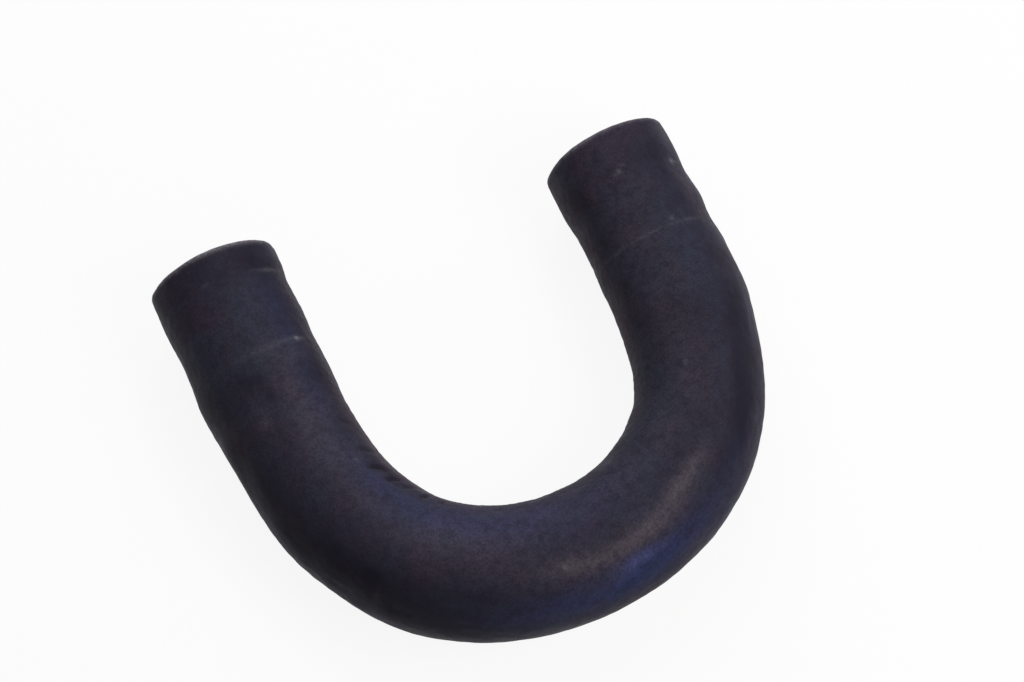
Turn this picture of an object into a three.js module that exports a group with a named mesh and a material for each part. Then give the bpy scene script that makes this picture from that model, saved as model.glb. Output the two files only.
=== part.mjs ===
// Moulded U-shaped coolant hose of a car engine, lying flat on its side.
// Millimetres, +Z up. Both legs run along +Y to their mouths, and the origin is
// the centre of the bounding box on the surface that the hose lies on.
//
// The hose is one piece of cured rubber. It is modelled the way it is made: a
// straight tube is turned from the section of its wall, and is then laid along
// the mandrel's route, which has two bends and a short bridge between them.
import * as THREE from "three";
import { mergeVertices } from "three/addons/utils/BufferGeometryUtils.js";

// Tube
const boreDiameter = 35;
const wall = 4.5;
const outerEdgeRadius = 0.9;
const innerEdgeRadius = 0.5;

// Route of the middle line, from mouth A to mouth B
const straightA = 41;
const bendA = { radius: 57.5, angle: 93 };
const bridge = 23.7;
const bendB = { radius: 48.8, angle: 87 };
const straightB = 30.7;
const easing = 82; // length over which the curvature builds up and dies away at each end of a bend

// Girth of each end, as the rubber shrank on the mandrel. Distances run inwards
// from the mouth, and rises are measured from the nominal outer radius.
const cuffA = {
  band: { end: 11, rise: 0.45, blend: 3 },
  waist: { at: 21, rise: 0.08, reach: 12 },
  crease: { at: 32, rise: -0.3, reach: 5 },
  swelling: { at: 44, rise: 0.64, reach: 11 },
  neck: { at: 68, rise: -0.45, reach: 18 },
};
const cuffB = {
  band: { end: 14, rise: 0.3, blend: 3 },
  waist: { at: 22, rise: -0.36, reach: 8 },
  crease: { at: 35, rise: -0.42, reach: 5 },
  swelling: { at: 57, rise: 0.6, reach: 20 },
  neck: { at: 97, rise: -0.4, reach: 20 },
};

// Girth between the two ends: full over bend A, drawn thin over bend B
const crownSwelling = { at: 137, rise: 0.37, reach: 32 };
const crownNeck = { at: 203, rise: -0.35, reach: 36 };

// Fineness of the facets
const facetsAround = 36;
const edgeFacets = 3;
const outerStepAtEnds = 3;
const outerStepInBends = 6;
const innerStep = 7;
const routeSteps = 1200;
const mergeDistance = 1e-4;

const boreRadius = boreDiameter / 2;
const outerRadius = boreRadius + wall;
const bends = layOutBends();
const routeLength = bends[1].end + easing / 2 + straightB;

// The two bends as arcs: where each starts and ends along the route, and its turn in radians.
function layOutBends() {
  const turnA = THREE.MathUtils.degToRad(bendA.angle);
  const turnB = THREE.MathUtils.degToRad(bendB.angle);
  const startA = straightA + easing / 2;
  const endA = startA + bendA.radius * turnA;
  const startB = endA + bridge;
  const endB = startB + bendB.radius * turnB;
  return [
    { start: startA, end: endA, turn: turnA },
    { start: startB, end: endB, turn: turnB },
  ];
}

// Area under a line that rises from 0 to 1 between start and end, taken up to s.
function rampArea(s, start, end) {
  if (s <= start) return 0;
  if (s >= end) return s - (start + end) / 2;
  return (s - start) ** 2 / (2 * (end - start));
}

// Heading of the route in radians at s: the plain arcs' heading, averaged over
// the easing length round s, so that the curvature changes steadily.
function headingAt(s) {
  const legHeading = -Math.PI / 2;
  const averaged = bends.map(({ start, end, turn }) => {
    const ahead = rampArea(s + easing / 2, start, end);
    const behind = rampArea(s - easing / 2, start, end);
    return (turn * (ahead - behind)) / easing;
  });
  return legHeading + averaged[0] + averaged[1];
}

// The mandrel's route in the XY plane, measured by its length from mouth A.
class HoseRoute {
  constructor(length) {
    this.step = length / routeSteps;
    this.points = [new THREE.Vector2(0, 0)];
    for (let i = 0; i < routeSteps; i++) {
      const heading = headingAt((i + 0.5) * this.step);
      const move = new THREE.Vector2(Math.cos(heading), Math.sin(heading));
      this.points.push(this.points[i].clone().addScaledVector(move, this.step));
    }
  }

  // Point on the middle line, and the unit vector to its right, seen from above.
  frameAt(s) {
    const place = THREE.MathUtils.clamp(s / this.step, 0, this.points.length - 1);
    const before = Math.min(Math.floor(place), this.points.length - 2);
    const point = this.points[before].clone().lerp(this.points[before + 1], place - before);
    const heading = headingAt(s);
    const right = new THREE.Vector2(Math.sin(heading), -Math.cos(heading));
    return { point, right };
  }
}

// A smooth hump of the given rise, centred at `at` and flat beyond `reach`.
function hump(s, { at, rise, reach }) {
  const away = Math.abs(s - at) / reach;
  return away < 1 ? (rise * (1 + Math.cos(Math.PI * away))) / 2 : 0;
}

// The thicker band at a mouth, which blends down to the waist behind it.
function bandRise(s, { end, rise, blend }) {
  return rise * (1 - THREE.MathUtils.smoothstep(s, end - blend / 2, end + blend / 2));
}

function cuffRise(s, cuff) {
  const humps = [cuff.waist, cuff.crease, cuff.swelling, cuff.neck];
  return humps.reduce((sum, part) => sum + hump(s, part), bandRise(s, cuff.band));
}

// Outer radius at the distance s from mouth A.
function outerRadiusAt(s) {
  const ends = cuffRise(s, cuffA) + cuffRise(routeLength - s, cuffB);
  return outerRadius + ends + hump(s, crownSwelling) + hump(s, crownNeck);
}

// Distances along the outside between its two rounded edges, close together at
// the ends of the hose, where its girth changes quickly.
function outerStations(from, to) {
  const endA = cuffA.neck.at + cuffA.neck.reach;
  const endB = routeLength - cuffB.neck.at - cuffB.neck.reach;
  const stations = [];
  let s = from;
  let step = outerStepAtEnds;
  while (s + 1.5 * step < to) {
    s += step;
    stations.push(s);
    step = s < endA || s > endB ? outerStepAtEnds : outerStepInBends;
  }
  return stations;
}

// Even distances along the curved stretch of the bore, with both of its ends.
function innerStations(from, to) {
  const count = Math.max(1, Math.ceil((to - from) / innerStep));
  return Array.from({ length: count + 1 }, (_, i) => from + ((to - from) * i) / count);
}

// A quarter round at an edge of the wall, from one heading to the next.
function edgeRound(centreRadius, centreS, radius, startAngle) {
  const points = [];
  for (let i = 0; i <= edgeFacets; i++) {
    const angle = startAngle + ((Math.PI / 2) * i) / edgeFacets;
    points.push(
      new THREE.Vector2(centreRadius + radius * Math.cos(angle), centreS + radius * Math.sin(angle)),
    );
  }
  return points;
}

// Half section of the straight hose's wall: x is the radius, y the distance
// from mouth A. It runs up the outside, over mouth B, down the bore and back.
function wallSection() {
  const outerStart = outerEdgeRadius;
  const outerEnd = routeLength - outerEdgeRadius;
  const outside = outerStations(outerStart, outerEnd).map(
    (s) => new THREE.Vector2(outerRadiusAt(s), s),
  );
  const inside = innerStations(straightA, routeLength - straightB)
    .reverse()
    .map((s) => new THREE.Vector2(boreRadius, s));

  const outerAtA = outerRadiusAt(outerStart) - outerEdgeRadius;
  const outerAtB = outerRadiusAt(outerEnd) - outerEdgeRadius;
  const innerEdge = boreRadius + innerEdgeRadius;
  const section = [
    ...edgeRound(outerAtA, outerStart, outerEdgeRadius, -Math.PI / 2),
    ...outside,
    ...edgeRound(outerAtB, outerEnd, outerEdgeRadius, 0),
    ...edgeRound(innerEdge, routeLength - innerEdgeRadius, innerEdgeRadius, Math.PI / 2),
    ...inside,
    ...edgeRound(innerEdge, innerEdgeRadius, innerEdgeRadius, Math.PI),
  ];
  return [...section, section[0].clone()];
}

// Lays a straight tube, turned about +Y, along the route.
function layAlong(geometry, route) {
  const position = geometry.getAttribute("position");
  for (let i = 0; i < position.count; i++) {
    const { point, right } = route.frameAt(position.getY(i));
    const across = position.getX(i);
    position.setXY(i, point.x + right.x * across, point.y + right.y * across);
  }
  return geometry;
}

function hoseGeometry() {
  const straight = new THREE.LatheGeometry(wallSection(), facetsAround);
  straight.deleteAttribute("normal");
  straight.deleteAttribute("uv");
  const laid = layAlong(straight, new HoseRoute(routeLength));
  const closed = mergeVertices(laid, mergeDistance);
  closed.computeVertexNormals();
  return closed;
}

// Puts the middle of the bounding box over the origin, with its underside at Z = 0.
function restOnFloor(mesh) {
  mesh.geometry.computeBoundingBox();
  const box = mesh.geometry.boundingBox;
  const centre = box.getCenter(new THREE.Vector3());
  mesh.position.set(-centre.x, -centre.y, -box.min.z);
}

const rubber = new THREE.MeshStandardMaterial({
  name: "rubber",
  color: new THREE.Color().setRGB(0.155, 0.143, 0.195, THREE.SRGBColorSpace),
  roughness: 0.62,
  metalness: 0,
});

const hose = new THREE.Mesh(hoseGeometry(), rubber);
hose.name = "hose";
restOnFloor(hose);

const coolantHose = new THREE.Group();
coolantHose.name = "coolant_hose";
coolantHose.add(hose);

export default coolantHose;
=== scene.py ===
"""Moulded U-shaped coolant hose of a car engine, lying on its side on a pale floor.

The file is laid out as a Blender add-on and is run as a script. The hose is one
closed surface, worked out on a grid: the section of its wall is carried along the
mandrel's route, which has two bends and a short bridge between them. Lengths are
in metres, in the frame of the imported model.
"""

import math

import bpy
import numpy as np
from bpy.props import FloatProperty, FloatVectorProperty, IntProperty, PointerProperty
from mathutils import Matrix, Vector


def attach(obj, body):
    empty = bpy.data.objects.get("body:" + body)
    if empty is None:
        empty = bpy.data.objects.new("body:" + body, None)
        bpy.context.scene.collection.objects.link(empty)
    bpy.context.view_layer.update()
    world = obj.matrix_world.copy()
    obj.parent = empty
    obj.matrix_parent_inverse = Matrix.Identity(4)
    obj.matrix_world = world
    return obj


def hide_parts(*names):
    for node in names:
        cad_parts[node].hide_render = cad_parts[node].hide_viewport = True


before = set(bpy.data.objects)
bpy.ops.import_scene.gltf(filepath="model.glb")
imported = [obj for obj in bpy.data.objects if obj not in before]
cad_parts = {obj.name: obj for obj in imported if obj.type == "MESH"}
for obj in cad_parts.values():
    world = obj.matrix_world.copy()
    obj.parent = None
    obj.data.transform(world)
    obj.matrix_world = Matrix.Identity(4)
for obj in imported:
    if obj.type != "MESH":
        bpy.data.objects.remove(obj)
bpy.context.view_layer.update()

bl_info = {
    "name": "Coolant hose",
    "version": (1, 0, 0),
    "blender": (4, 5, 0),
    "location": "3D View > Sidebar > Coolant hose",
    "description": "Builds a moulded U-shaped rubber coolant hose and a plain stage for it",
    "category": "Add Mesh",
}

MM = 0.001
CAD_NODE = "hose"
FLOOR_GAP = 0.02 * MM

# Where the thicker band at each mouth ends, measured from mouth A.
BAND_A = 11.2 * MM
BAND_B = 327.6 * MM

# Angles round the tube start at its outer side, seen from the middle of the U,
# and pass over the top: 0 is the outside of the U, 90 the top, 180 the inside.

# How far the skin stands over its nominal radius on the inside and the outside of
# the U: (distance, rise) in millimetres, from each mouth to the middle of the route.
INSIDE_FROM_A = (
    (0, 1.0), (6, 0.95), (14, 0.0), (26, 0.65), (35, -0.05), (46, 0.48),
    (70, 0.0), (84, 0.12), (94, 0.0), (113, 0.52), (126, 0.36), (138, 0.62),
    (157, 0.07), (172, -0.04),
)
INSIDE_FROM_B = (
    (0, 0.1), (11, 0.42), (24, -0.55), (33, -0.42), (46, 0.42), (56, 0.22),
    (65, 0.33), (78, -0.06), (85, -0.06), (97, -0.57), (119, -0.06), (139, -0.42),
    (156, -0.22), (172, -0.04),
)
OUTSIDE_FROM_A = (
    (0, 0.05), (14, 0.32), (26, -0.26), (33, -0.05), (44, 0.7), (58, -0.33), (69, -0.7),
    (97, 0.18), (112, -0.52), (127, 0.35), (146, 0.22), (155, 0.4), (172, -0.14),
)
OUTSIDE_FROM_B = (
    (0, 0.1), (9, 0.4), (19, -0.5), (29, 0.58), (37, -0.15), (46, 0.57),
    (50, 0.5), (62, 0.82), (81, -0.17), (95, 0.05), (108, -0.06), (122, 0.15),
    (140, 0.05), (157, -0.25), (172, -0.14),
)

# Short folds across the inside of bend A: distance from mouth A in millimetres,
# angle in degrees, and depth as a share of the full depth.
CREASES = (
    (73, 140, 0.4), (87, 141, 0.55), (95.5, 136, 1.0), (98.5, 142, 0.5),
    (104, 139, 0.8), (111.5, 144, 0.6), (120, 143, 0.75), (129, 147, 0.35),
)

# Fine lines that the mould left across the skin: distance from mouth A in
# millimetres, angle and reach round the tube in degrees, half width in
# millimetres, and strength.
MOULD_LINES = (
    (38.6, 134, 19, 0.7, 0.15), (39.4, 98, 28, 1.1, 0.12), (304.5, 112, 40, 0.7, 0.12),
    (304.5, 62, 18, 0.7, 0.1), (11.9, 139, 16, 0.8, 0.22), (10.9, 80, 4, 0.7, 0.12),
    (327.6, 38, 9, 0.8, 0.2), (120.8, 26, 24, 0.9, 0.07),
)

# Pale nicks in the skin: distance from mouth A in millimetres, angle in degrees,
# half length along the hose in millimetres, and strength.
NICKS = (
    (38.5, 134, 0.8, 0.5), (62.5, 73.5, 0.9, 0.07), (89, 123, 1.0, 0.1), (171.5, 70, 0.7, 0.28),
    (256, 105.5, 0.8, 0.2), (306.5, 75.5, 0.7, 0.22), (327.5, 41, 1.0, 0.25),
    (329, 98, 0.8, 0.2), (330.5, 93, 0.5, 0.1), (328.3, 102, 0.5, 0.1),
)

# Broad patches over the skin: distance from mouth A and reach along the hose in
# millimetres, angle and reach round it in degrees, and strength. Lists that are not
# marked below as painted light or shade tint the rubber itself.
# Bluish bloom on the skin, which also stands in as painted bluish reflection.
BLOOM_AND_REFLECTION = (
    (25, 14, 130, 14, 0.18),
    (58, 18, 124, 14, 0.15),
    (98, 8, 122, 10, 0.12),
    (120, 34, 119, 18, 0.31),
    (170, 44, 119, 26, 0.38),
    (164, 16, 34, 18, 0.38),
    (190, 16, 37, 19, 0.85),
    (191, 6, 48, 7, 0.4),
    (214, 18, 38, 19, 0.28),
    (234, 9, 46, 10, 0.05),
    (285, 40, 66, 26, 0.06),
    (318, 20, 58, 12, 0.05),
    (36, 8, 127, 12, 0.09),
    (134, 10, 110, 12, 0.08),
)
# Painted highlights and painted light: the pale streak along bend B and broader paler patches elsewhere.
PAINTED_LIGHT = (
    (172, 7, 70, 7, 0.65),
    (186, 11, 65, 8, 0.65),
    (199, 8, 66, 7, 0.75),
    (208, 6, 71, 7, 0.65),
    (218, 8, 75, 7, 0.9),
    (192, 30, 66, 16, 0.45),
    (140, 30, 92, 20, 0.3),
    (70, 26, 108, 16, 0.4),
    (180, 60, 122, 22, 0.25),
    (275, 60, 112, 22, 0.28),
    (60, 5, 72, 8, 0.35),
    (43, 3, 122, 16, 0.25),
    (183, 10, 45, 10, 0.3),
    (218, 8, 76, 9, 0.25),
    (134, 9, 105, 12, 0.25),
    (204, 9, 15, 12, 0.2),
    (316, 9, 44, 8, 0.3),
    (246, 10, 95, 16, 0.12),
    (62, 9, 42, 12, 0.2),
    (92, 8, 45, 10, 0.15),
    (204, 6, 58, 6, 0.2),
    (202, 40, 142, 12, 0.12),
    (106, 8, 104, 10, 0.15),
    (28, 20, 157, 10, 0.16),
    (102, 12, 158, 8, 0.2),
    (206, 9, 153, 9, 0.18),
    (246, 9, 156, 9, 0.2),
    (290, 30, 168, 10, 0.18),
    (326, 12, 165, 11, 0.32),
)
# Painted glint: a small bright violet spot on bend B.
PAINTED_GLINT = (
    (192, 4, 48, 6, 1.0),
    (198, 4, 47, 4, 0.45),
)
COOL = (
    (25, 10, 98, 15, 0.8),
    (44, 36, 124, 18, 0.4),
    (88, 10, 46, 12, 0.4),
    (131, 9, 28, 9, 0.6),
    (238, 12, 124, 18, 0.8),
    (292, 9, 75, 15, 0.8),
    (96, 12, 118, 10, 0.4),
)
WARM = (
    (100, 60, 156, 13, 1.0),
    (10, 14, 60, 30, 0.5),
    (335, 14, 125, 30, 0.5),
    (150, 40, 90, 22, 0.3),
    (290, 45, 162, 13, 0.6),
)
# Painted shade: darker patches on sides that turn from the light, along the folds inside bend A, beside
# band B and at the mouths.
PAINTED_SHADE = (
    (112, 34, 40, 26, 1.0),
    (118.5, 3.5, 50, 9, 0.8),
    (140, 20, 12, 20, 0.7),
    (62, 44, 34, 20, 0.7),
    (252, 26, 48, 17, 0.8),
    (6, 9, 66, 44, 0.5),
    (16, 34, 140, 18, 1.0),
    (262, 46, 50, 14, 0.8),
    (322, 30, 54, 14, 0.8),
    (49, 4, 84, 6, 0.7),
    (56, 3.5, 89, 4, 0.9),
    (47, 4, 72, 6, 0.5),
    (87, 3, 141, 5, 0.4),
    (95.5, 3, 136, 6, 0.7),
    (104, 2.5, 139, 5, 0.6),
    (111.5, 3, 144, 5, 0.6),
    (120, 3, 143, 5, 0.6),
    (129, 4, 147, 6, 0.3),
    (107, 17, 141, 4.5, 0.75),
    (115, 3, 147, 5, 0.5),
    (148, 5, 55, 5, 0.5),
    (322, 18, 145, 12, 0.52),
    (331, 2.8, 57, 11, 0.75),
    (50, 12, 147, 9, 0.45),
    (52, 6, 131, 16, 0.4),
    (78, 7, 150, 8, 0.5),
    (8, 7, 125, 22, 0.4),
    (106, 9, 14, 12, 0.6),
    (148, 10, 22, 14, 0.3),
    (274, 8, 95, 45, 0.4),
    (330, 6, 66, 22, 0.45),
    (78, 6, 132, 10, 0.25),
)


class HoseSizes(bpy.types.PropertyGroup):
    """Sizes of the hose and of its surface."""

    bore: FloatProperty(
        name="Bore", description="Inner diameter", default=35 * MM, unit="LENGTH"
    )
    wall: FloatProperty(
        name="Wall", description="Nominal thickness of the wall", default=4.5 * MM, unit="LENGTH"
    )
    outer_edge: FloatProperty(
        name="Outer edge", description="Rounding of the outer edge of each mouth",
        default=0.9 * MM, unit="LENGTH",
    )
    inner_edge: FloatProperty(
        name="Inner edge", description="Rounding of the inner edge of each mouth",
        default=0.5 * MM, unit="LENGTH",
    )
    straight_a: FloatProperty(
        name="Straight A", description="Straight length from mouth A", default=41 * MM, unit="LENGTH"
    )
    radius_a: FloatProperty(
        name="Bend A", description="Radius of bend A at the middle line",
        default=57.5 * MM, unit="LENGTH",
    )
    turn_a: FloatProperty(
        name="Turn A", description="Angle of bend A", default=math.radians(93), subtype="ANGLE"
    )
    bridge: FloatProperty(
        name="Bridge", description="Length between the two bends", default=23.7 * MM, unit="LENGTH"
    )
    radius_b: FloatProperty(
        name="Bend B", description="Radius of bend B at the middle line",
        default=48.8 * MM, unit="LENGTH",
    )
    turn_b: FloatProperty(
        name="Turn B", description="Angle of bend B", default=math.radians(87), subtype="ANGLE"
    )
    straight_b: FloatProperty(
        name="Straight B", description="Straight length to mouth B",
        default=30.7 * MM, unit="LENGTH",
    )
    easing: FloatProperty(
        name="Easing", description="Length over which the curvature of a bend builds up",
        default=82 * MM, unit="LENGTH",
    )
    ring_a: FloatProperty(
        name="Ring A", description="Distance of the moulding ring from mouth A",
        default=38.5 * MM, unit="LENGTH",
    )
    ring_b: FloatProperty(
        name="Ring B", description="Distance of the moulding ring from mouth B",
        default=40.4 * MM, unit="LENGTH",
    )
    ring_height: FloatProperty(
        name="Ring height", description="Height of a moulding ring", default=0.1 * MM, unit="LENGTH"
    )
    ring_width: FloatProperty(
        name="Ring width", description="Half width of a moulding ring",
        default=0.55 * MM, unit="LENGTH",
    )
    # Width of the painted highlight on the rounded rim of each mouth.
    rim_highlight_width: FloatProperty(
        name="Worn rim", description="Width of the paler rim round each mouth",
        default=1.3 * MM, unit="LENGTH",
    )
    crease_depth: FloatProperty(
        name="Crease depth", description="Depth of the folds inside bend A",
        default=0.75 * MM, unit="LENGTH",
    )
    lump_height: FloatProperty(
        name="Lump height", description="Unevenness of the skin over about 2 cm",
        default=0.09 * MM, unit="LENGTH",
    )
    ripple_height: FloatProperty(
        name="Ripple height", description="Unevenness of the skin over a few millimetres",
        default=0.035 * MM, unit="LENGTH",
    )
    slant_b: FloatProperty(
        name="Slant B", description="How far the cut of mouth B leans from square",
        default=0.8 * MM, unit="LENGTH",
    )
    spare_b: FloatProperty(
        name="Spare B", description="How far the cut of mouth B stands past its nominal place",
        default=0.25 * MM, unit="LENGTH",
    )
    stations: IntProperty(
        name="Stations", description="Grid lines along the outside", default=460, min=50
    )
    facets: IntProperty(
        name="Facets", description="Grid lines round the tube", default=172, min=24
    )


class HoseFinish(bpy.types.PropertyGroup):
    """Colours of the rubber, and of the light and shade painted on it."""

    rubber: FloatVectorProperty(
        name="Rubber", description="Plain skin of the hose", subtype="COLOR",
        default=(0.0338, 0.0317, 0.0495), min=0, max=1,
    )
    # Dark rubber of the mottling and grain; the same colour is used for the painted shade of the
    # patches, the folds and the bore.
    shade: FloatVectorProperty(
        name="Shade", description="Darker patches of the skin", subtype="COLOR",
        default=(0.0115, 0.0098, 0.0178), min=0, max=1,
    )
    # Bluish bloom, also used as painted bluish reflection.
    bloom_and_reflection: FloatVectorProperty(
        name="Bloom", description="Bluish film on the skin", subtype="COLOR",
        default=(0.024, 0.0435, 0.150), min=0, max=1,
    )
    # Colour of the painted highlights and painted light.
    painted_light: FloatVectorProperty(
        name="Rubbed", description="Skin that was rubbed matt and brownish", subtype="COLOR",
        default=(0.094, 0.077, 0.099), min=0, max=1,
    )
    # Colour of the painted glint.
    painted_glint: FloatVectorProperty(
        name="Film", description="Thickest part of the bluish film", subtype="COLOR",
        default=(0.085, 0.090, 0.235), min=0, max=1,
    )
    warm: FloatVectorProperty(
        name="Warm", description="Reddish brown tint of the skin", subtype="COLOR",
        default=(0.048, 0.0295, 0.047), min=0, max=1,
    )
    cool: FloatVectorProperty(
        name="Cool", description="Greenish grey tint of the skin", subtype="COLOR",
        default=(0.0300, 0.0385, 0.062), min=0, max=1,
    )
    # Colour of the painted highlight on the rounded rim of each mouth.
    rim_highlight: FloatVectorProperty(
        name="Rim", description="Worn rim round each mouth", subtype="COLOR",
        default=(0.27, 0.25, 0.28), min=0, max=1,
    )
    pale: FloatVectorProperty(
        name="Pale marks", description="Moulding lines, nicks and scuffs", subtype="COLOR",
        default=(0.26, 0.25, 0.28), min=0, max=1,
    )
    cut: FloatVectorProperty(
        name="Cut rubber", description="Cut faces at the mouths", subtype="COLOR",
        default=(0.042, 0.040, 0.044), min=0, max=1,
    )


class StageSettings(bpy.types.PropertyGroup):
    """Camera, lamps and floor."""

    azimuth: FloatProperty(
        name="Azimuth", description="Turn of the camera round the hose",
        default=math.radians(-25.6), subtype="ANGLE",
    )
    elevation: FloatProperty(
        name="Elevation", description="Height of the camera as an angle",
        default=math.radians(70.17), subtype="ANGLE",
    )
    distance: FloatProperty(
        name="Distance", description="From the camera to the point that it aims at",
        default=0.899, unit="LENGTH",
    )
    lens: FloatProperty(
        name="Lens", description="Focal length in millimetres", default=94.2
    )
    aim: FloatVectorProperty(
        name="Aim", description="Point of the middle line's plane at the picture's centre",
        default=(11.9 * MM, 16.5 * MM, 22.6 * MM), subtype="TRANSLATION", unit="LENGTH",
    )
    key_power: FloatProperty(
        name="Key", description="Power of the key lamp in watts", default=4.3
    )
    fill_power: FloatProperty(
        name="Fill", description="Power of the fill lamp in watts", default=7.6
    )
    side_power: FloatProperty(
        name="Side", description="Power of the low side lamp in watts", default=2.0
    )
    sky: FloatProperty(
        name="Sky", description="Strength of the even light from all round", default=0.22
    )
    floor: FloatVectorProperty(
        name="Floor", description="Colour of the floor", subtype="COLOR",
        default=(0.92, 0.92, 0.92), min=0, max=1,
    )


# Route of the middle line


def lay_out_bends(sizes):
    """The two bends as plain arcs, (start, end, turn), and the length of the whole route."""
    start_a = sizes.straight_a + sizes.easing / 2
    end_a = start_a + sizes.radius_a * sizes.turn_a
    start_b = end_a + sizes.bridge
    end_b = start_b + sizes.radius_b * sizes.turn_b
    length = end_b + sizes.easing / 2 + sizes.straight_b
    return ((start_a, end_a, sizes.turn_a), (start_b, end_b, sizes.turn_b)), length


def ramp_area(s, start, end):
    """Area up to s under a line that rises from 0 at start to 1 at end and stays there."""
    inside = np.clip(s, start, end) - start
    return inside**2 / (2 * (end - start)) + np.clip(s - end, 0, None)


def heading_at(s, bends, easing):
    """Heading at s: the arcs' own heading, averaged over the easing length round s."""
    heading = np.full_like(s, -math.pi / 2)
    for start, end, turn in bends:
        ahead = ramp_area(s + easing / 2, start, end)
        behind = ramp_area(s - easing / 2, start, end)
        heading += turn * (ahead - behind) / easing
    return heading


class Route:
    """The mandrel's route: its heading, summed in short steps from the centre of mouth A."""

    STEPS = 2400

    def __init__(self, sizes, start):
        self.bends, self.length = lay_out_bends(sizes)
        self.easing = sizes.easing
        self.height = start.z
        step = self.length / self.STEPS
        middles = (np.arange(self.STEPS) + 0.5) * step
        heading = heading_at(middles, self.bends, self.easing)
        self.stations = np.arange(self.STEPS + 1) * step
        self.x = start.x + np.append(0, np.cumsum(step * np.cos(heading)))
        self.y = start.y + np.append(0, np.cumsum(step * np.sin(heading)))

    def carry(self, s, out, up):
        """Points at s along the route, moved out from the middle of the U and up."""
        heading = heading_at(s, self.bends, self.easing)
        x = np.interp(s, self.stations, self.x) + np.sin(heading) * out
        y = np.interp(s, self.stations, self.y) - np.cos(heading) * out
        return np.stack(np.broadcast_arrays(x, y, self.height + up), axis=-1)


def centre_of_mouth_a():
    """Middle of the CAD hose's cut face at mouth A, which is the face furthest along +Y."""
    tolerance = 0.01 * MM
    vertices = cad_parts[CAD_NODE].data.vertices
    points = np.empty(len(vertices) * 3)
    vertices.foreach_get("co", points)
    points = points.reshape(-1, 3)
    face = points[points[:, 1] > points[:, 1].max() - tolerance]
    return Vector((face.min(axis=0) + face.max(axis=0)) / 2)


# Shape of the skin


def smoothstep(x):
    """Three x squared less two x cubed, with x kept between 0 and 1."""
    x = np.clip(x, 0, 1)
    return x * x * (3 - 2 * x)


def eased(s, points):
    """Curve through (distance, rise) points in millimetres, level at each of them."""
    places, rises = np.array(points, float).T * MM
    after = np.clip(np.searchsorted(places, s), 1, len(places) - 1)
    share = smoothstep((s - places[after - 1]) / (places[after] - places[after - 1]))
    return rises[after - 1] + (rises[after] - rises[after - 1]) * share


def from_both_mouths(s, length, from_a, from_b):
    """Rise from the list of the nearer mouth. Both lists end alike in the middle."""
    return np.where(s < length / 2, eased(s, from_a), eased(length - s, from_b))


def angle_between(angle, centre):
    """Shortest turn from centre to angle, in radians."""
    return (angle - centre + math.pi) % (2 * math.pi) - math.pi


def bell(distance, reach):
    """Bell curve that is 1 at distance 0 and has fallen to about a third at reach."""
    return np.exp(-((distance / reach) ** 2))


def patches(s, angle, listed):
    """Sum of bells over the skin, each (place, reach, angle, reach, strength)."""
    total = np.zeros(np.broadcast(s, angle).shape)
    for place, reach, centre, spread, strength in listed:
        along = bell(s - place * MM, reach * MM)
        around = bell(angle_between(angle, math.radians(centre)), math.radians(spread))
        total += strength * along * around
    return total


def waves(s, angle, radius, shortest, longest, count, seed):
    """Sum of cosine waves over the unrolled skin, each closing on itself round the tube.

    Each runs in a random direction with a length between shortest and longest, and
    the sum is scaled so that it varies by about 1.
    """
    random = np.random.default_rng(seed)
    lengths = np.exp(random.uniform(np.log(shortest), np.log(longest), count))
    directions = random.uniform(0, math.pi, count)
    phases = random.uniform(0, 2 * math.pi, count)
    total = np.zeros(np.broadcast(s, angle).shape)
    for length, direction, phase in zip(lengths, directions, phases):
        along = 2 * math.pi * math.cos(direction) / length
        around = round(2 * math.pi * radius * math.sin(direction) / length)
        total += np.cos(along * s + around * angle + phase)
    return total / math.sqrt(count / 2)


def rings(s, sizes, length):
    """Low ridges right round the tube where the mould's end pieces met its middle."""
    at_a = bell(s - sizes.ring_a, sizes.ring_width)
    at_b = bell(length - s - sizes.ring_b, sizes.ring_width)
    return at_a + at_b


def mould_lines(s, angle):
    """Sum of the arcs in MOULD_LINES, each a bell across the arc times a bell along it."""
    total = np.zeros(np.broadcast(s, angle).shape)
    for place, centre, reach, width, strength in MOULD_LINES:
        turn = angle_between(angle, math.radians(centre))
        total += strength * bell(s - place * MM, width * MM) * bell(turn, math.radians(reach))
    return total


def creases(s, angle):
    """Sum of the folds in CREASES, each a bell along the hose times a bell round it.

    The middle of a fold moves along the hose as it goes round, so that it slants.
    """
    width, spread = 1.4 * MM, math.radians(8)
    slant = 10 * MM
    total = np.zeros(np.broadcast(s, angle).shape)
    for place, centre, depth in CREASES:
        turn = angle_between(angle, math.radians(centre))
        total += depth * bell(s - place * MM - slant * turn, width) * bell(turn, spread)
    return total


def skin_radius(s, angle, sizes, length):
    """Outer radius of the skin.

    The nominal radius, plus the eased girth of the two sides, blended round the tube
    by the cosine of the angle, plus rings and mould lines, less the folds, plus lumps
    and ripples.
    """
    nominal = sizes.bore / 2 + sizes.wall
    ring_share, line_share = 0.5, 2
    inside = from_both_mouths(s, length, INSIDE_FROM_A, INSIDE_FROM_B)
    outside = from_both_mouths(s, length, OUTSIDE_FROM_A, OUTSIDE_FROM_B)
    share = (1 - np.cos(angle)) / 2
    radius = nominal + inside * share + outside * (1 - share)
    relief = ring_share * rings(s, sizes, length) + line_share * mould_lines(s, angle)
    radius = radius + sizes.ring_height * relief
    radius -= sizes.crease_depth * creases(s, angle)
    lumps = waves(s, angle, nominal, shortest=9 * MM, longest=30 * MM, count=60, seed=4)
    ripples = waves(s, angle, nominal, shortest=2.6 * MM, longest=6 * MM, count=90, seed=9)
    return radius + sizes.lump_height * lumps + sizes.ripple_height * ripples


# Grid of the whole surface


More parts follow.
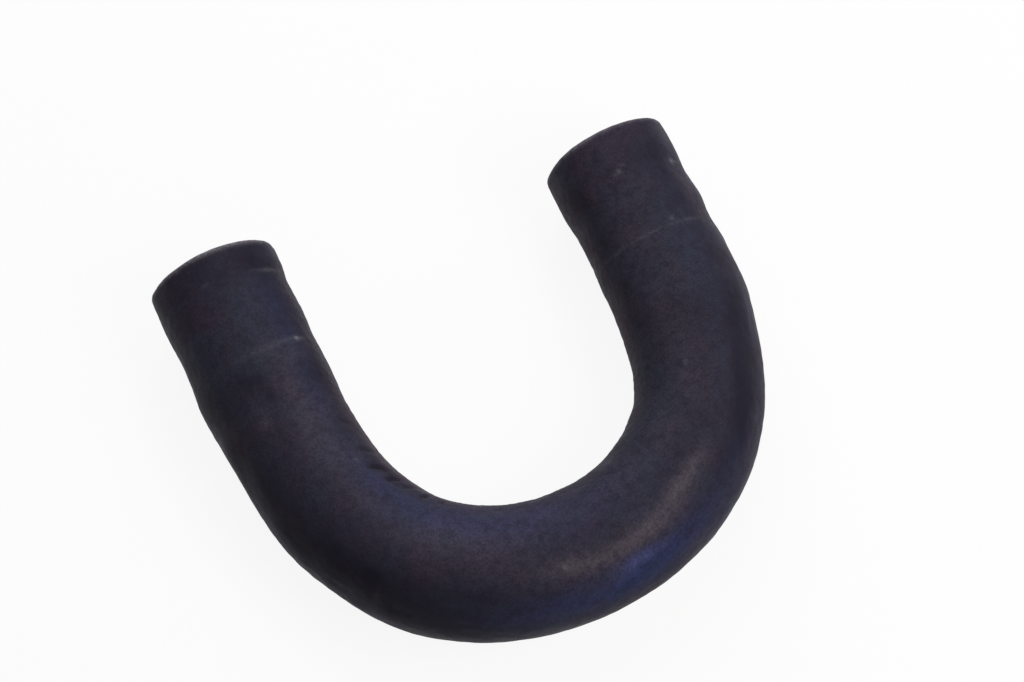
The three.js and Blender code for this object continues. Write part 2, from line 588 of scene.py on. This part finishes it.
def outer_stations(sizes, length):
    """Distances along the outside, closer together at the mouths, rings and bands."""
    samples = 20000
    more_at_line, line_reach = 2.2, 1.6 * MM
    more_at_mouth, mouth_reach = 1.2, 3 * MM
    fine = np.linspace(sizes.outer_edge, length - sizes.outer_edge, samples)
    density = np.ones_like(fine)
    for place in (sizes.ring_a, length - sizes.ring_b, BAND_A, BAND_B):
        density += more_at_line * bell(fine - place, line_reach)
    density += more_at_mouth * (bell(fine, mouth_reach) + bell(length - fine, mouth_reach))
    passed = np.append(0, np.cumsum((density[1:] + density[:-1]) / 2))
    return np.interp(np.linspace(0, passed[-1], sizes.stations), passed, fine)


def quarter(count):
    """Angles of a quarter turn, without its two ends."""
    return np.linspace(0, math.pi / 2, count + 2)[1:-1]


def wall_section(sizes, length):
    """The closed section of the wall as three arrays.

    For each grid line: its distance from mouth A, its depth in the wall as a share
    (0 is the bore, 1 the skin), and how far it is cut face rather than skin or bore.
    The line runs along the skin from A to B, over mouth B, back through the bore and
    over mouth A.
    """
    outer, inner = sizes.outer_edge, sizes.inner_edge
    outer_lines, face_lines, inner_lines = 6, 9, 4
    bore_lines = sizes.stations // 6
    skin = outer_stations(sizes, length)
    bore = np.linspace(inner, length - inner, bore_lines)[::-1]
    turn_out, turn_in = quarter(outer_lines), quarter(inner_lines)
    outer_share, inner_share = outer / sizes.wall, inner / sizes.wall
    face = np.linspace(1 - outer_share, inner_share, face_lines)

    over_edge = outer * (1 - np.sin(turn_out))
    drop = 1 - outer_share * (1 - np.cos(turn_out))
    into_bore = inner * (1 - np.cos(turn_in))
    rise = inner_share * (1 - np.sin(turn_in))

    s = np.concatenate([
        skin, length - over_edge, np.full(face_lines, length), length - into_bore,
        bore, into_bore[::-1], np.zeros(face_lines), over_edge[::-1],
    ])
    depth = np.concatenate([
        np.ones_like(skin), drop, face, rise,
        np.zeros_like(bore), rise[::-1], face[::-1], drop[::-1],
    ])
    rim_share = turn_out / (math.pi / 2)
    cut = np.concatenate([
        np.zeros_like(skin), rim_share, np.ones(face_lines + inner_lines),
        np.zeros_like(bore), np.ones(inner_lines + face_lines), rim_share[::-1],
    ])
    return s, depth, cut


def lean_of_mouth_b(s, angle, sizes, route):
    """Stretch towards mouth B, whose cut leans: its top outer side stands furthest out."""
    reach, highest = 16 * MM, math.radians(42)
    near = smoothstep((s - route.length + reach) / reach)
    return near * (sizes.spare_b + sizes.slant_b * np.cos(angle - highest))


def hose_grid(sizes, route):
    """Points and per-point masks of the hose, on a grid that closes on itself both ways.

    One way follows the section of the wall and the other goes round the tube. The
    radius runs from the bore's to the skin's by the depth in the wall.
    """
    bore_waver, cut_waver = 0.05 * MM, 0.07 * MM
    s, depth, cut = wall_section(sizes, route.length)
    s, depth, cut = s[:, None], depth[:, None], cut[:, None]
    angle = np.linspace(0, 2 * math.pi, sizes.facets, endpoint=False)[None, :]
    on_skin = np.clip(s, sizes.outer_edge, route.length - sizes.outer_edge)
    skin = skin_radius(on_skin, angle, sizes, route.length)
    nominal = sizes.bore / 2
    uneven = waves(s, angle, nominal, shortest=12 * MM, longest=40 * MM, count=30, seed=2)
    bore = nominal + bore_waver * uneven
    radius = bore + (skin - bore) * depth
    ragged = waves(s * 0, angle, nominal, shortest=8 * MM, longest=60 * MM, count=12, seed=6)
    outwards = np.sign(s - route.length / 2)
    placed = s + cut_waver * ragged * cut * outwards + lean_of_mouth_b(s, angle, sizes, route)
    points = route.carry(placed, radius * np.cos(angle), radius * np.sin(angle))
    points[..., 2] = np.maximum(points[..., 2], FLOOR_GAP)
    from_mouth = np.minimum(s, route.length - s)
    # Painted highlight: a pale band round the rim of each mouth.
    rim_share = bell(np.hypot(from_mouth, (1 - depth) * sizes.wall), sizes.rim_highlight_width)
    masks = {
        "cut": cut + 0 * angle,
        "rim_share": rim_share + 0 * angle,
        "bore": (depth < 0.5) * (1 - cut) + 0 * angle,
        "creases": creases(s, angle) * depth,
        "lines": pale_marks(s, angle, sizes) * depth,
        "warm": patches(s, angle, WARM) * depth,
        "cool": patches(s, angle, COOL) * depth,
        "bloom_and_reflection": patches(s, angle, BLOOM_AND_REFLECTION) * depth,
        "painted_light": patches(s, angle, PAINTED_LIGHT) * depth,
        "painted_glint": patches(s, angle, PAINTED_GLINT) * depth,
        "painted_shade": patches(s, angle, PAINTED_SHADE) * depth,
    }
    return points, masks


def pale_marks(s, angle, sizes):
    """Strength of the mould's lines and of the nicks, each nick a small oval bell."""
    nick_reach, nick_gain = 0.75 * MM, 1.8
    total = mould_lines(s, angle)
    radius = sizes.bore / 2 + sizes.wall
    for place, centre, half_length, strength in NICKS:
        around = radius * angle_between(angle, math.radians(centre)) / nick_reach
        along = (s - place * MM) / (half_length * MM)
        total += nick_gain * strength * bell(np.hypot(along, around), 1)
    return total


def closed_surface(name, points, masks):
    """Mesh of a grid that closes on itself both ways, faces pointing outwards."""
    rows, columns = points.shape[:2]
    index = np.arange(rows * columns).reshape(rows, columns)
    below = np.roll(index, -1, axis=0)
    faces = np.stack([index, below, np.roll(below, -1, axis=1), np.roll(index, -1, axis=1)], axis=-1)
    mesh = bpy.data.meshes.new(name)
    mesh.from_pydata(points.reshape(-1, 3), [], faces.reshape(-1, 4))
    mesh.shade_smooth()
    for mask, values in masks.items():
        attribute = mesh.attributes.new(mask, "FLOAT", "POINT")
        attribute.data.foreach_set("value", values.astype(np.float32).ravel())
    mesh.update()
    return mesh


# Shader nodes


def add_node(tree, kind, column, row, **settings):
    node = tree.nodes.new(kind)
    node.location = (220 * column, -260 * row)
    for setting, value in settings.items():
        setattr(node, setting, value)
    return node


def feed(tree, socket, value):
    """Links value to socket if it is a socket, and otherwise sets it."""
    if isinstance(value, bpy.types.NodeSocket):
        tree.links.new(value, socket)
    elif socket.type == "RGBA":
        socket.default_value = (*value[:3], 1)
    else:
        socket.default_value = value


def calculate(tree, column, row, operation, first, second, clamp=False):
    node = add_node(tree, "ShaderNodeMath", column, row, operation=operation, use_clamp=clamp)
    feed(tree, node.inputs[0], first)
    feed(tree, node.inputs[1], second)
    return node.outputs[0]


def map_range(tree, column, row, value, low, high, to_low=0.0, to_high=1.0):
    node = add_node(tree, "ShaderNodeMapRange", column, row)
    for name, amount in (("Value", value), ("From Min", low), ("From Max", high),
                         ("To Min", to_low), ("To Max", to_high)):
        feed(tree, node.inputs[name], amount)
    return node.outputs["Result"]


def mix_colours(tree, column, row, factor, first, second):
    node = add_node(tree, "ShaderNodeMix", column, row, data_type="RGBA")
    feed(tree, node.inputs[0], factor)
    feed(tree, node.inputs[6], first)
    feed(tree, node.inputs[7], second)
    return node.outputs[2]


def noise(tree, column, row, vector, scale, detail, roughness):
    node = add_node(tree, "ShaderNodeTexNoise", column, row)
    feed(tree, node.inputs["Vector"], vector)
    feed(tree, node.inputs["Scale"], scale)
    feed(tree, node.inputs["Detail"], detail)
    feed(tree, node.inputs["Roughness"], roughness)
    return node.outputs["Fac"]


def mask_of(tree, column, row, name):
    node = add_node(tree, "ShaderNodeAttribute", column, row, attribute_name=name)
    return node.outputs["Fac"]


def new_group(name, inputs, outputs):
    """An empty shader group with its input and output nodes."""
    group = bpy.data.node_groups.new(name, "ShaderNodeTree")
    for label, kind, default in inputs:
        socket = group.interface.new_socket(name=label, in_out="INPUT", socket_type=kind)
        if default is not None:
            socket.default_value = default
    for label in outputs:
        group.interface.new_socket(name=label, in_out="OUTPUT", socket_type="NodeSocketFloat")
    entry = add_node(group, "NodeGroupInput", -1, 0)
    result = add_node(group, "NodeGroupOutput", 8, 0)
    return group, entry.outputs, result.inputs


def mottling_group():
    """Cloudy patches of three sizes over cured rubber, each about 0 to 1."""
    group, given, result = new_group(
        "Rubber mottling",
        (("Vector", "NodeSocketVector", None),
         ("Patch size", "NodeSocketFloat", 28 * MM),
         ("Blotch size", "NodeSocketFloat", 11 * MM),
         ("Fleck size", "NodeSocketFloat", 3.2 * MM)),
        ("Patches", "Blotches", "Flecks"),
    )
    clouds = (("Patch size", "Patches"), ("Blotch size", "Blotches"), ("Fleck size", "Flecks"))
    for row, (size, output) in enumerate(clouds):
        scale = calculate(group, 0, row, "DIVIDE", 1.0, given[size])
        cloud = noise(group, 1, row, given["Vector"], scale, detail=3.0, roughness=0.55)
        stretched = map_range(group, 2, row, cloud, low=0.3, high=0.7)
        group.links.new(stretched, result[output])
    return group


def grain_group():
    """Fine pebbled grain of a rubber skin, and the sparse specks that catch light."""
    group, given, result = new_group(
        "Rubber grain",
        (("Vector", "NodeSocketVector", None), ("Grain size", "NodeSocketFloat", 0.36 * MM)),
        ("Height", "Specks"),
    )
    pebble_ratio, pebble_weight, speck_ratio = 0.5, 0.7, 0.15
    scale = calculate(group, 0, 0, "DIVIDE", 1.0, given["Grain size"])
    fine = noise(group, 1, 0, given["Vector"], scale, detail=4.0, roughness=0.6)
    pebbles = add_node(group, "ShaderNodeTexVoronoi", 1, 1, feature="SMOOTH_F1")
    group.links.new(given["Vector"], pebbles.inputs["Vector"])
    pebble_scale = calculate(group, 0, 1, "MULTIPLY", scale, pebble_ratio)
    group.links.new(pebble_scale, pebbles.inputs["Scale"])
    rounded = calculate(group, 2, 1, "MULTIPLY", pebbles.outputs["Distance"], pebble_weight)
    group.links.new(calculate(group, 3, 0, "SUBTRACT", fine, rounded), result["Height"])
    specks = add_node(group, "ShaderNodeTexVoronoi", 1, 2, feature="F1")
    group.links.new(given["Vector"], specks.inputs["Vector"])
    speck_scale = calculate(group, 0, 2, "MULTIPLY", scale, speck_ratio)
    group.links.new(speck_scale, specks.inputs["Scale"])
    spot = map_range(group, 2, 2, specks.outputs["Distance"], low=0.16, high=0.07)
    chosen = add_node(group, "ShaderNodeSeparateColor", 2, 3)
    group.links.new(specks.outputs["Color"], chosen.inputs[0])
    rare = map_range(group, 3, 3, chosen.outputs[0], low=0.8, high=0.86)
    group.links.new(calculate(group, 4, 2, "MULTIPLY", spot, rare), result["Specks"])
    return group


def place_group(tree, group, column, row, vector):
    node = add_node(tree, "ShaderNodeGroup", column, row, node_tree=group)
    tree.links.new(vector, node.inputs["Vector"])
    return node.outputs


def skin_colour(tree, finish, mottling, grain):
    """Colour of the skin: mottled rubber under the layers of the masks, some of which are painted light
    and shade, then painted shade along the folds, and grain.
    """
    dark_share, fold_shade_gain, speck_share = 0.4, 1.4, 0.05
    patch, blotch, fleck = mottling["Patches"], mottling["Blotches"], mottling["Flecks"]
    dark = calculate(tree, 3, 0, "MULTIPLY", patch, dark_share)
    colour = mix_colours(tree, 4, 0, dark, finish.rubber, finish.shade)
    reddish = map_range(tree, 4, -1, blotch, low=0.4, high=1.0, to_high=0.42)
    colour = mix_colours(tree, 5, 0, reddish, colour, finish.warm)
    greenish = map_range(tree, 5, -1, blotch, low=0.6, high=0.0, to_high=0.5)
    colour = mix_colours(tree, 6, 0, greenish, colour, finish.cool)
    uneven = calculate(tree, 3, 1, "MULTIPLY_ADD", fleck, 0.2)
    tree.links.new(blotch, uneven.node.inputs[2])
    uneven = map_range(tree, 4, 2, uneven, low=0.3, high=1.0, to_low=0.75, to_high=1.1)
    # The third layer is painted shade, the fourth a bluish bloom that is also painted reflection, the
    # fifth painted highlights and light, the sixth a painted glint and the seventh a painted rim
    # highlight; the others colour the rubber itself.
    layers = (("warm", finish.warm, 0.9), ("cool", finish.cool, 0.9),
              ("painted_shade", finish.shade, 0.95), ("bloom_and_reflection", finish.bloom_and_reflection, 0.85),
              ("painted_light", finish.painted_light, 0.85), ("painted_glint", finish.painted_glint, 0.85),
              ("rim_share", finish.rim_highlight, 0.95), ("lines", finish.pale, 0.8))
    for row, (mask, tint, most) in enumerate(layers, start=1):
        broken = calculate(tree, 5, row, "MULTIPLY", mask_of(tree, 4, row + 2, mask), uneven)
        limited = calculate(tree, 6, row, "MULTIPLY", broken, most, clamp=True)
        colour = mix_colours(tree, 6 + row, row, limited, colour, tint)
    # Painted shade along the folds inside bend A.
    folds = mask_of(tree, 4, 11, "creases")
    folds = calculate(tree, 5, 10, "MULTIPLY", folds, fold_shade_gain, clamp=True)
    colour = mix_colours(tree, 13, 5, folds, colour, finish.shade)
    pits = map_range(tree, 12, 9, grain["Height"], low=0.4, high=0.0, to_high=0.46)
    colour = mix_colours(tree, 14, 6, pits, colour, finish.shade)
    dull = map_range(tree, 13, 9, fleck, low=0.6, high=0.1, to_high=0.33)
    colour = mix_colours(tree, 15, 6, dull, colour, finish.shade)
    specks = calculate(tree, 14, 10, "MULTIPLY", grain["Specks"], speck_share)
    return mix_colours(tree, 16, 6, specks, colour, finish.pale)


def rubber_material(finish):
    """Matt black cured rubber: moulded skin, smooth bore and greyer cut faces."""
    material = bpy.data.materials.new("cured_rubber")
    material.use_nodes = True
    tree = material.node_tree
    tree.nodes.clear()
    result = add_node(tree, "ShaderNodeOutputMaterial", 22, 0)
    shader = add_node(tree, "ShaderNodeBsdfPrincipled", 20, 0)
    tree.links.new(shader.outputs[0], result.inputs[0])
    place = add_node(tree, "ShaderNodeTexCoord", 0, 0).outputs["Object"]
    mottling = place_group(tree, mottling_group(), 1, 0, place)
    grain = place_group(tree, grain_group(), 1, 2, place)

    bore_shade_share, cut_share = 0.7, 0.85
    cut = mask_of(tree, 16, 2, "cut")
    bore = mask_of(tree, 16, 3, "bore")
    colour = skin_colour(tree, finish, mottling, grain)
    # Painted shade: the bore is mixed most of the way to the dark shade colour.
    inside = calculate(tree, 17, 3, "MULTIPLY", bore, bore_shade_share)
    colour = mix_colours(tree, 18, 0, inside, colour, finish.shade)
    sawn = calculate(tree, 17, 2, "MULTIPLY", cut, cut_share)
    # The cut colour gives way to the painted rim highlight.
    sawn = calculate(tree, 18, 2, "SUBTRACT", sawn, mask_of(tree, 16, 4, "rim_share"), clamp=True)
    colour = mix_colours(tree, 19, 0, sawn, colour, finish.cut)
    tree.links.new(colour, shader.inputs["Base Color"])

    skin_roughness = map_range(
        tree, 17, 5, mottling["Blotches"], low=0.0, high=1.0, to_low=0.56, to_high=0.68
    )
    roughness = calculate(tree, 18, 5, "MULTIPLY_ADD", cut, 0.2)
    tree.links.new(skin_roughness, roughness.node.inputs[2])
    tree.links.new(roughness, shader.inputs["Roughness"])
    shader.inputs["Specular IOR Level"].default_value = 0.08
    shader.inputs["Sheen Weight"].default_value = 0.05
    shader.inputs["Sheen Roughness"].default_value = 0.35
    shader.inputs["Sheen Tint"].default_value = (1.0, 0.88, 1.0, 1)

    bump = add_node(tree, "ShaderNodeBump", 18, 4)
    bump.inputs["Strength"].default_value = 0.5
    bump.inputs["Distance"].default_value = 0.12 * MM
    tree.links.new(grain["Height"], bump.inputs["Height"])
    tree.links.new(bump.outputs[0], shader.inputs["Normal"])
    return material


# Stage


def seen_background(tree):
    """1 for rays that show the background: from the camera, off gloss and through glass."""
    path = add_node(tree, "ShaderNodeLightPath", 0, 0)
    seen = calculate(tree, 1, 0, "MAXIMUM", path.outputs["Is Camera Ray"], path.outputs["Is Glossy Ray"])
    return calculate(tree, 2, 0, "MAXIMUM", seen, path.outputs["Is Transmission Ray"])


def floor_material(settings):
    """Pale floor that is nearly white to the eye, and still takes the hose's shadow."""
    white_share = 0.9
    material = bpy.data.materials.new("pale_floor")
    material.use_nodes = True
    tree = material.node_tree
    tree.nodes.clear()
    result = add_node(tree, "ShaderNodeOutputMaterial", 6, 0)
    plain = add_node(tree, "ShaderNodeBsdfDiffuse", 3, 1)
    feed(tree, plain.inputs["Color"], settings.floor)
    white = add_node(tree, "ShaderNodeEmission", 3, 2)
    white.inputs["Strength"].default_value = 1.0
    share = calculate(tree, 3, 0, "MULTIPLY", seen_background(tree), white_share)
    blend = add_node(tree, "ShaderNodeMixShader", 5, 0)
    tree.links.new(share, blend.inputs[0])
    tree.links.new(plain.outputs[0], blend.inputs[1])
    tree.links.new(white.outputs[0], blend.inputs[2])
    tree.links.new(blend.outputs[0], result.inputs[0])
    return material


def white_world(settings):
    """Even pale light from all round."""
    world = bpy.data.worlds.new("white_studio")
    world.use_nodes = True
    tree = world.node_tree
    tree.nodes.clear()
    result = add_node(tree, "ShaderNodeOutputWorld", 6, 0)
    background = add_node(tree, "ShaderNodeBackground", 5, 0)
    background.inputs["Color"].default_value = (1, 1, 1, 1)
    background.inputs["Strength"].default_value = settings.sky
    tree.links.new(background.outputs[0], result.inputs[0])
    return world


def add_floor(settings):
    half = 8.0
    corners = [(-half, -half, 0), (half, -half, 0), (half, half, 0), (-half, half, 0)]
    mesh = bpy.data.meshes.new("floor")
    mesh.from_pydata(corners, [], [(0, 1, 2, 3)])
    mesh.materials.append(floor_material(settings))
    floor = bpy.data.objects.new("floor", mesh)
    bpy.context.scene.collection.objects.link(floor)


def add_lamp(name, aim, direction, distance, size, power, colour):
    """Square soft lamp at the given direction and distance from aim, turned towards it."""
    lamp = bpy.data.lights.new(name, "AREA")
    lamp.shape = "SQUARE"
    lamp.size = size
    lamp.energy = power
    lamp.color = colour
    holder = bpy.data.objects.new(name, lamp)
    direction = Vector(direction).normalized()
    holder.location = aim + direction * distance
    holder.rotation_euler = direction.to_track_quat("Z", "Y").to_euler()
    bpy.context.scene.collection.objects.link(holder)


def add_camera(settings):
    """Camera on a sphere round the aim point. Azimuth 0 looks along +Y."""
    flat = math.cos(settings.elevation)
    towards = Vector((
        math.sin(settings.azimuth) * flat,
        -math.cos(settings.azimuth) * flat,
        math.sin(settings.elevation),
    ))
    camera = bpy.data.cameras.new("camera")
    camera.lens = settings.lens
    camera.sensor_width = 36
    holder = bpy.data.objects.new("camera", camera)
    holder.location = Vector(settings.aim) + towards * settings.distance
    holder.rotation_euler = towards.to_track_quat("Z", "Y").to_euler()
    bpy.context.scene.collection.objects.link(holder)
    bpy.context.scene.camera = holder


# Operators and panel


class COOLANTHOSE_OT_hose(bpy.types.Operator):
    """Build the moulded hose and its rubber"""

    bl_idname = "coolant_hose.hose"
    bl_label = "Hose"

    def execute(self, context):
        sizes = context.scene.hose_sizes
        route = Route(sizes, centre_of_mouth_a())
        points, masks = hose_grid(sizes, route)
        mesh = closed_surface("moulded_hose", points, masks)
        mesh.materials.append(rubber_material(context.scene.hose_finish))
        hose = bpy.data.objects.new("moulded_hose", mesh)
        context.scene.collection.objects.link(hose)
        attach(hose, "root")
        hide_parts(CAD_NODE)
        return {"FINISHED"}


class COOLANTHOSE_OT_stage(bpy.types.Operator):
    """Add the floor, the lamps, the even light and the camera"""

    bl_idname = "coolant_hose.stage"
    bl_label = "Stage"

    def execute(self, context):
        settings = context.scene.stage_settings
        aim = Vector(settings.aim)
        add_floor(settings)
        context.scene.world = white_world(settings)
        add_lamp(
            "key", aim, direction=(0.46, -0.47, 0.75), distance=0.95, size=0.5,
            power=settings.key_power, colour=(1.0, 0.96, 0.94),
        )
        add_lamp(
            "fill", aim, direction=(0.16, 0.73, 0.66), distance=1.1, size=0.9,
            power=settings.fill_power, colour=(0.95, 0.97, 1.0),
        )
        add_lamp(
            "side", aim, direction=(0.97, 0.15, 0.17), distance=0.9, size=0.25,
            power=settings.side_power, colour=(1.0, 0.93, 1.0),
        )
        add_camera(settings)
        context.scene.view_settings.view_transform = "Standard"
        return {"FINISHED"}


class COOLANTHOSE_PT_sidebar(bpy.types.Panel):
    """Buttons and settings of the coolant hose"""

    bl_idname = "COOLANTHOSE_PT_sidebar"
    bl_label = "Coolant hose"
    bl_space_type = "VIEW_3D"
    bl_region_type = "UI"
    bl_category = "Coolant hose"

    def draw(self, context):
        layout = self.layout
        layout.operator(COOLANTHOSE_OT_hose.bl_idname)
        layout.operator(COOLANTHOSE_OT_stage.bl_idname)
        for group in (context.scene.hose_sizes, context.scene.hose_finish, context.scene.stage_settings):
            box = layout.box()
            for name in group.__annotations__:
                box.prop(group, name)


CLASSES = (
    HoseSizes,
    HoseFinish,
    StageSettings,
    COOLANTHOSE_OT_hose,
    COOLANTHOSE_OT_stage,
    COOLANTHOSE_PT_sidebar,
)


def register():
    for item in CLASSES:
        bpy.utils.register_class(item)
    bpy.types.Scene.hose_sizes = PointerProperty(type=HoseSizes)
    bpy.types.Scene.hose_finish = PointerProperty(type=HoseFinish)
    bpy.types.Scene.stage_settings = PointerProperty(type=StageSettings)


def unregister():
    del bpy.types.Scene.stage_settings
    del bpy.types.Scene.hose_finish
    del bpy.types.Scene.hose_sizes
    for item in reversed(CLASSES):
        bpy.utils.unregister_class(item)


def main():
    register()
    bpy.ops.coolant_hose.hose()
    bpy.ops.coolant_hose.stage()


if __name__ == "__main__":
    main()
